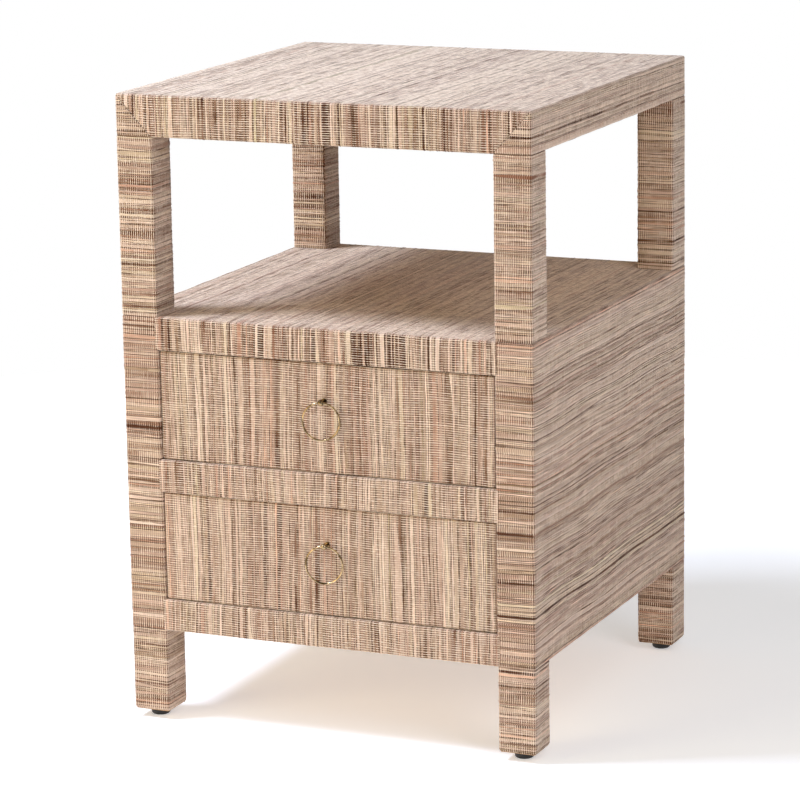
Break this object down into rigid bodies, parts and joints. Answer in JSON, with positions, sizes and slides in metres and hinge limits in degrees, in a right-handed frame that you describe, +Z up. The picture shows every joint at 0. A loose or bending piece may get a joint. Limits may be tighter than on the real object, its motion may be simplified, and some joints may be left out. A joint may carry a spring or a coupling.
{
  "type": "two-drawer side table with open shelf",
  "caption": "Square side table on straight legs, wrapped in woven plant-fibre cloth, with an open shelf over inset drawers with brass ring pulls.",
  "frame": {"origin": "on the floor, under the middle of the box that holds the table and its pulls", "axes": "+X to the right seen from the front, +Y to the back, +Z up"},
  "size_m": [0.45, 0.4614, 0.655],
  "materials": {
    "woven_cloth": "matte woven plant fibre in pale, tan and brown strips",
    "carcass_board": "raw fibreboard, hidden under the cloth",
    "drawer_wood": "clear-lacquered light wood",
    "brass": "polished pale brass",
    "zinc_steel": "zinc-plated",
    "glide_plastic": "matte black"
  },
  "bodies": {
    "carcass": {"top_board": "carcass_board", "front_apron": "carcass_board", "rear_apron": "carcass_board", "left_apron": "carcass_board", "right_apron": "carcass_board", "ceiling_panel": "carcass_board", "front_left_leg": "carcass_board", "front_right_leg": "carcass_board", "rear_left_leg": "carcass_board", "rear_right_leg": "carcass_board", "shelf_board": "carcass_board", "shelf_rail": "carcass_board", "middle_rail": "carcass_board", "bottom_rail": "carcass_board", "left_side_panel": "carcass_board", "right_side_panel": "carcass_board", "back_panel": "carcass_board", "bottom_board": "carcass_board", "upper_left_runner": "drawer_wood", "upper_right_runner": "drawer_wood", "lower_left_runner": "drawer_wood", "lower_right_runner": "drawer_wood", "runner_screws": "zinc_steel", "drawer_stops": "drawer_wood", "foot_glides": "glide_plastic", "top_cloth": "woven_cloth", "left_apron_cloth": "woven_cloth", "right_apron_cloth": "woven_cloth", "front_left_upper_leg_cloth": "woven_cloth", "front_right_upper_leg_cloth": "woven_cloth", "rear_left_upper_leg_cloth": "woven_cloth", "rear_right_upper_leg_cloth": "woven_cloth", "front_left_lower_leg_cloth": "woven_cloth", "front_right_lower_leg_cloth": "woven_cloth", "rear_left_lower_leg_cloth": "woven_cloth", "rear_right_lower_leg_cloth": "woven_cloth", "shelf_cloth": "woven_cloth", "middle_rail_cloth": "woven_cloth", "bottom_rail_cloth": "woven_cloth", "left_side_cloth": "woven_cloth", "right_side_cloth": "woven_cloth", "back_cloth": "woven_cloth"},
    "upper_drawer": {"upper_drawer_front": "carcass_board", "upper_drawer_front_cloth": "woven_cloth", "upper_drawer_left_side": "drawer_wood", "upper_drawer_right_side": "drawer_wood", "upper_drawer_rear": "drawer_wood", "upper_drawer_bottom": "drawer_wood", "upper_pull_post": "brass", "upper_pull_nut": "zinc_steel"},
    "upper_pull_ring": {"upper_pull_ring": "brass"},
    "lower_drawer": {"lower_drawer_front": "carcass_board", "lower_drawer_front_cloth": "woven_cloth", "lower_drawer_left_side": "drawer_wood", "lower_drawer_right_side": "drawer_wood", "lower_drawer_rear": "drawer_wood", "lower_drawer_bottom": "drawer_wood", "lower_pull_post": "brass", "lower_pull_nut": "zinc_steel"},
    "lower_pull_ring": {"lower_pull_ring": "brass"}
  },
  "joints": [
    {"name": "upper_drawer_slide", "type": "slide", "parent": "carcass", "child": "upper_drawer", "axis": [0, -1, 0], "range_m": [0, 0.3]},
    {"name": "upper_ring_hinge", "type": "hinge", "parent": "upper_drawer", "child": "upper_pull_ring", "pos_m": [0, -0.22628, 0.354], "axis": [-1, 0, 0], "range_deg": [-6, 175]},
    {"name": "lower_drawer_slide", "type": "slide", "parent": "carcass", "child": "lower_drawer", "axis": [0, -1, 0], "range_m": [0, 0.3]},
    {"name": "lower_ring_hinge", "type": "hinge", "parent": "lower_drawer", "child": "lower_pull_ring", "pos_m": [0, -0.22628, 0.2055], "axis": [-1, 0, 0], "range_deg": [-6, 175]}
  ]
}
